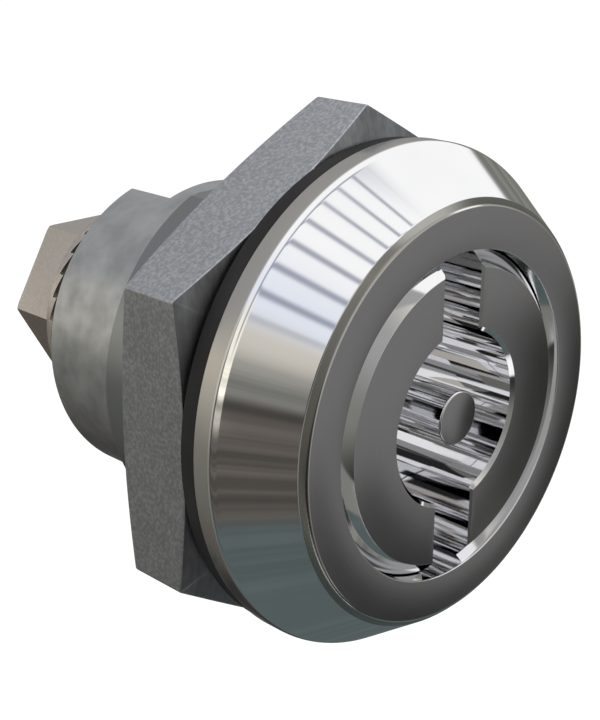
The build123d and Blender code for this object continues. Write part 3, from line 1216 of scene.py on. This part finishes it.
# Panels of the tent, as tones at angles round the turning axis in degrees: 0 is straight up
# and 90 is to the right, seen from the key side
SIDE_PANELS = (
    (-180, TEAL), (-140, TEAL), (-130, UMBER), (-90, UMBER), (-78, GREY), (-60, PALE_STONE),
    (-45, COOL_WHITE), (-10, WHITE), (72, WHITE), (77, GREY), (110, GREY), (140, TEAL),
    (180, TEAL),
)
FRONT_PANELS = (
    (-180, CHARCOAL), (-145, CHARCOAL), (-90, GREY), (-20, STONE), (35, WARM_WHITE),
    (85, STONE), (120, STONE), (150, UMBER), (180, CHARCOAL),
)
BACK_PANELS = (
    (-180, UMBER), (-120, GREY), (-75, PALE_STONE), (-45, STONE), (60, STONE), (110, GREY),
    (180, UMBER),
)
SOCKET_PANELS = (
    (-180, WHITE), (-160, WHITE), (-155, GREY), (-90, GREY), (-85, CHARCOAL), (-50, CHARCOAL),
    (-45, PALE_STONE), (-20, PALE_STONE), (-15, STONE), (15, STONE), (20, WHITE), (80, WHITE),
    (85, STONE), (130, STONE), (135, CHARCOAL), (165, CHARCOAL), (170, WHITE),
)

# Places along the axis are told by ahead, the Y part of a direction: -1 towards the key
# side, 0 square to the axis, 1 towards the cam side. Limits are low, high and softness.

# Strips that the rounding behind the cone picks up: limits of ahead, limits round the axis,
# strength and tone
STRIPS = (
    ((-0.35, 0.38, 0.05), (-92.0, -48.0, 12.0), 1.0, IVORY),
    ((-0.16, 0.0, 0.05), (-66.0, 24.0, 8.0), 0.75, SLATE),
    ((0.4, 0.46, 0.04), (-150.0, -50.0, 8.0), 0.75, CHARCOAL),
)

# Middle angles of the dark gaps between the lower panels
GAPS = (-70.0, -88.0, -108.0, -126.0)

# Dark screens low at the front right, and one low at the back: angle round the axis, ahead,
# and inner and outer size in degrees
DARK_SCREENS = (
    (115.0, -0.46, 4.0, 8.5),
    (128.0, -0.61, 2.0, 5.5),
    (165.0, 0.6, 8.0, 20.0),
)


def round_ramp(tree, share, stops):
    """Colour by the angle round the turning axis, given as its share of a turn."""
    made = new_node(tree, "ShaderNodeValToRGB", {"Fac": share})
    ramp = made.color_ramp
    ramp.interpolation = "EASE"
    for number, (angle, rgb) in enumerate(stops):
        where = (angle + 180) / 360
        stop = ramp.elements[number] if number < 2 else ramp.elements.new(where)
        stop.position = where
        stop.color = (*rgb, 1.0)
    return made.outputs[0]


def window(tree, value, low, high, soft):
    """1 between two limits, with soft edges, and 0 outside them."""
    rise = soft_step(tree, value, low - soft, low + soft)
    fall = soft_step(tree, value, high + soft, high - soft)
    return times(tree, rise, fall)


def soft_spot(tree, unit, angle, ahead, inner, outer):
    """Mask round one direction of the tent, from its inner to its outer size in degrees."""
    side = sqrt(1 - ahead * ahead)
    middle = Vector((sin(radians(angle)) * side, ahead, cos(radians(angle)) * side))
    near = likeness(tree, unit, middle)
    return soft_step(tree, near, cos(radians(outer)), cos(radians(inner)))


def slats(tree, ahead, around):
    """Mask of slats between the upper panels, seen as streaks along the cone of the head.
    To the left they are wider and further apart, and to the right they lean more."""
    first, half_pitch = 2.6, 4.35
    right = times(tree, maths(tree, "MAXIMUM", around, 0.0), 0.87)
    left = times(tree, maths(tree, "MINIMUM", around, 0.0), 0.78)
    lean = maths(tree, "MAXIMUM", maths(tree, "ADD", around, 40.0), 0.0)
    lean = times(tree, lean, maths(tree, "MULTIPLY_ADD", ahead, 0.63, 0.19))
    spread = maths(tree, "ADD", maths(tree, "ADD", right, left), lean)
    phase = maths(tree, "PINGPONG", maths(tree, "SUBTRACT", spread, first), half_pitch)
    width = maths(tree, "MULTIPLY_ADD", left, -0.025, 1.4)
    across = window(tree, around, -52.0, 23.0, 5.0)
    along = window(tree, ahead, -0.49, -0.13, 0.03)
    return times(tree, soft_step(tree, phase, width, 0.2), across, along)


def under_screen(tree, ahead, around):
    """Mask of a screen under the white panel, towards the key side, with a sloping edge."""
    slope = maths(tree, "MULTIPLY_ADD", around, 0.011, -0.66)
    edge = soft_step(tree, maths(tree, "SUBTRACT", slope, ahead), 0.0, 0.06)
    across = window(tree, around, 48.0, 96.0, 8.0)
    return times(tree, edge, across, soft_step(tree, ahead, -0.52, -0.42))


def streaked(tree, ahead, around, glow):
    """Tones with faint streaks in the lower panels, and dark gaps between these panels."""
    streaks = noise_along(tree, around, Scale=0.13, Detail=3.0, Roughness=0.6)
    shade = between(tree, soft_step(tree, streaks, 0.35, 0.65), 0.75, 1.3)
    lower = window(tree, ahead, -0.5, 0.45, 0.05)
    away = maths(tree, "ABSOLUTE", around)
    faint = times(tree, window(tree, away, 72.0, 170.0, 6.0), 0.35)
    aside = window(tree, away, 72.0, 130.0, 6.0)
    mask = times(tree, lower, maths(tree, "MAXIMUM", faint, aside))
    glow = blend(tree, mask, glow, shaded(tree, glow, shade))
    lower = times(tree, lower, aside)
    half_width = 2.0
    for middle in GAPS:
        gap = window(tree, around, middle - half_width, middle + half_width, 2.5)
        glow = blend(tree, times(tree, gap, lower, 0.45), glow, CHARCOAL)
    return glow


def bare_material(name):
    """Material with an empty node tree."""
    material = bpy.data.materials.new(name)
    material.use_nodes = True
    material.node_tree.nodes.clear()
    return material, material.node_tree


def tent_material():
    """Light tent that the metal reflects: white overhead, grey and teal lower down, with
    slats between its upper panels and a few soft screens."""
    material, tree = bare_material("Light tent")
    material.cycles.emission_sampling = "NONE"
    unit = vector_maths(tree, "NORMALIZE", object_place(tree))[0]
    parts = new_node(tree, "ShaderNodeSeparateXYZ", {0: unit}).outputs
    ahead = parts[1]
    angle = maths(tree, "ARCTAN2", parts[0], parts[2])
    around = times(tree, angle, 360 / TURN)
    share = maths(tree, "MULTIPLY_ADD", angle, 1 / TURN, 0.5)
    sides, front, back = (
        round_ramp(tree, share, stops) for stops in (SIDE_PANELS, FRONT_PANELS, BACK_PANELS)
    )
    glow = blend(tree, soft_step(tree, ahead, -0.5, -0.62), sides, front)
    glow = blend(tree, soft_step(tree, ahead, 0.46, 0.62), glow, back)
    glow = blend(tree, times(tree, slats(tree, ahead, around), 0.8), glow, SLATE)
    for along, across, strength, tone in STRIPS:
        length_mask, width_mask = window(tree, ahead, *along), window(tree, around, *across)
        glow = blend(tree, times(tree, length_mask, width_mask, strength), glow, tone)
    glow = blend(tree, under_screen(tree, ahead, around), glow, GREY)
    glow = streaked(tree, ahead, around, glow)

    # The walls of the key socket look into one ring of the tent, whose panels stand aslant
    aslant = maths(tree, "MULTIPLY_ADD", maths(tree, "ADD", ahead, 0.58), 0.5, share)
    ring = window(tree, ahead, -0.67, -0.5, 0.01)
    glow = blend(tree, ring, glow, round_ramp(tree, aslant, SOCKET_PANELS))
    for screen in DARK_SCREENS:
        glow = blend(tree, times(tree, soft_spot(tree, unit, *screen), 0.9), glow, CHARCOAL)
    light = result(tree, "ShaderNodeEmission", {"Color": glow})
    new_node(tree, "ShaderNodeOutputMaterial", {"Surface": light})
    return material


def seen_rays(tree):
    """1 for the rays that show the background: camera, glossy and transmission rays."""
    path = new_node(tree, "ShaderNodeLightPath").outputs
    both = maths(tree, "MAXIMUM", path["Is Camera Ray"], path["Is Glossy Ray"])
    return maths(tree, "MAXIMUM", both, path["Is Transmission Ray"])


def floor_material(rgb):
    """Pale floor that keeps the object's shadow, looks white to the eye and is clear when
    it is seen from below."""
    lift = 0.35
    material, tree = bare_material("Pale floor")
    cloud = use_group(tree, "Mottling", Scale=3.0)["Mask"]
    tone = blend(tree, cloud, tinted(rgb, 0.995), rgb)
    paint = result(tree, "ShaderNodeBsdfDiffuse", {"Color": tone})
    glow = result(tree, "ShaderNodeEmission", {"Strength": times(tree, seen_rays(tree), lift)})
    both = result(tree, "ShaderNodeAddShader", {0: paint, 1: glow})
    under = new_node(tree, "ShaderNodeNewGeometry").outputs["Backfacing"]
    clear = result(tree, "ShaderNodeBsdfTransparent")
    seen = result(tree, "ShaderNodeMixShader", {0: under, 1: both, 2: clear})
    new_node(tree, "ShaderNodeOutputMaterial", {"Surface": seen})
    return material


def floor_sheet(size):
    """Square floor that the glossy rays don't see."""
    reach = 12.0
    square = [(-reach, -reach), (reach, -reach), (reach, reach), (-reach, reach)]
    corners = [(x, y, -size.floor_drop) for x, y in square]
    mesh = plain_mesh("floor", corners, [(0, 1, 2, 3)])
    mesh.materials.append(floor_material(size.floor))
    floor = holder("floor", mesh)
    floor.visible_glossy = False
    return floor


def light_tent():
    """Sphere round the object that only glossy and transmission rays see."""
    shape = bmesh.new()
    bmesh.ops.create_uvsphere(shape, u_segments=48, v_segments=24, radius=2.0)
    bmesh.ops.reverse_faces(shape, faces=shape.faces)
    mesh = bpy.data.meshes.new("light_tent")
    shape.to_mesh(mesh)
    shape.free()
    mesh.materials.append(tent_material())
    tent = holder("light_tent", mesh)
    tent.visible_camera = False
    tent.visible_diffuse = False
    tent.visible_shadow = False
    return tent


def soft_lamp(size):
    """Lamp at the upper left, turned to the object."""
    place = Vector((-0.3, -0.3, 0.55))
    light = bpy.data.lights.new("soft_lamp", "AREA")
    light.energy = size.lamp_power
    light.size = 0.5
    lamp = holder("soft_lamp", light)
    lamp.location = place
    lamp.rotation_euler = place.to_track_quat("Z", "Y").to_euler()
    lamp.visible_glossy = False


def plain_world(size):
    """White background for the rays that show it, and soft light for the others."""
    world = bpy.data.worlds.new("Plain studio")
    world.use_nodes = True
    world.cycles.sampling_method = "NONE"
    tree = world.node_tree
    tree.nodes.clear()
    soft, white = (
        result(tree, "ShaderNodeBackground", {"Color": (1, 1, 1, 1), "Strength": strength})
        for strength in (size.soft_light, 1.0)
    )
    mixed = result(tree, "ShaderNodeMixShader", {0: seen_rays(tree), 1: soft, 2: white})
    new_node(tree, "ShaderNodeOutputWorld", {"Surface": mixed})
    return world


def photo_camera():
    """Camera at the photograph's place and viewing angle."""
    place = (-0.0532, -0.04687, 0.02739)
    azimuth, elevation, roll = radians(-45.46), radians(20.01), radians(0.38)
    focal_pixels, picture_height, sensor = 1368.84, 720, 36.0
    back = Vector(
        (sin(azimuth) * cos(elevation), -cos(azimuth) * cos(elevation), sin(elevation))
    )
    right = Vector((cos(azimuth), sin(azimuth), 0.0))
    up = back.cross(right)
    right, up = right * cos(roll) + up * sin(roll), up * cos(roll) - right * sin(roll)
    data = bpy.data.cameras.new("photo_camera")
    data.sensor_width = sensor
    data.lens = focal_pixels / picture_height * sensor
    data.clip_start = 0.001
    data.clip_end = 100.0
    camera = holder("photo_camera", data)
    turn = Matrix((right, up, back)).transposed()
    camera.matrix_world = Matrix.Translation(place) @ turn.to_4x4()
    return camera


class LATCH_OT_build_stage(bpy.types.Operator):
    """Build the floor, the light and the camera"""

    bl_idname = "latch.build_stage"
    bl_label = "Stage"

    def execute(self, context):
        scene, size = context.scene, context.scene.latch_stage
        floor = floor_sheet(size)
        tent = light_tent()
        soft_lamp(size)
        scene.world = plain_world(size)
        scene.camera = photo_camera()
        scene.view_settings.view_transform = "Standard"
        scene.cycles.max_bounces = 16
        scene.cycles.glossy_bounces = 8
        return {"FINISHED"}


BUILD_ORDER = (
    LATCH_OT_build_stage,
    LATCH_OT_build_housing,
    LATCH_OT_build_gasket,
    LATCH_OT_build_nut,
    LATCH_OT_build_spindle,
    LATCH_OT_build_stop,
    LATCH_OT_build_bolt,
)


class LATCH_PT_build(bpy.types.Panel):
    """Sidebar panel that lists the pieces of the latch and their sizes"""

    bl_idname = "LATCH_PT_build"
    bl_label = "Quarter-turn latch"
    bl_space_type = "VIEW_3D"
    bl_region_type = "UI"
    bl_category = "Latch"

    def draw(self, context):
        for operator in BUILD_ORDER:
            self.layout.operator(operator.bl_idname)
        for name, group in SETTINGS.items():
            box = self.layout.box()
            for field in group.__annotations__:
                box.prop(getattr(context.scene, name), field)


CLASSES = (*SETTINGS.values(), *BUILD_ORDER, LATCH_PT_build)


def register():
    for part in CLASSES:
        bpy.utils.register_class(part)
    for name, group in SETTINGS.items():
        setattr(bpy.types.Scene, name, PointerProperty(type=group))


def unregister():
    for name in SETTINGS:
        delattr(bpy.types.Scene, name)
    for part in reversed(CLASSES):
        bpy.utils.unregister_class(part)


def main():
    """Builds every piece."""
    register()
    for operator in BUILD_ORDER:
        family, name = operator.bl_idname.split(".")
        getattr(getattr(bpy.ops, family), name)()


if __name__ == "__main__":
    main()
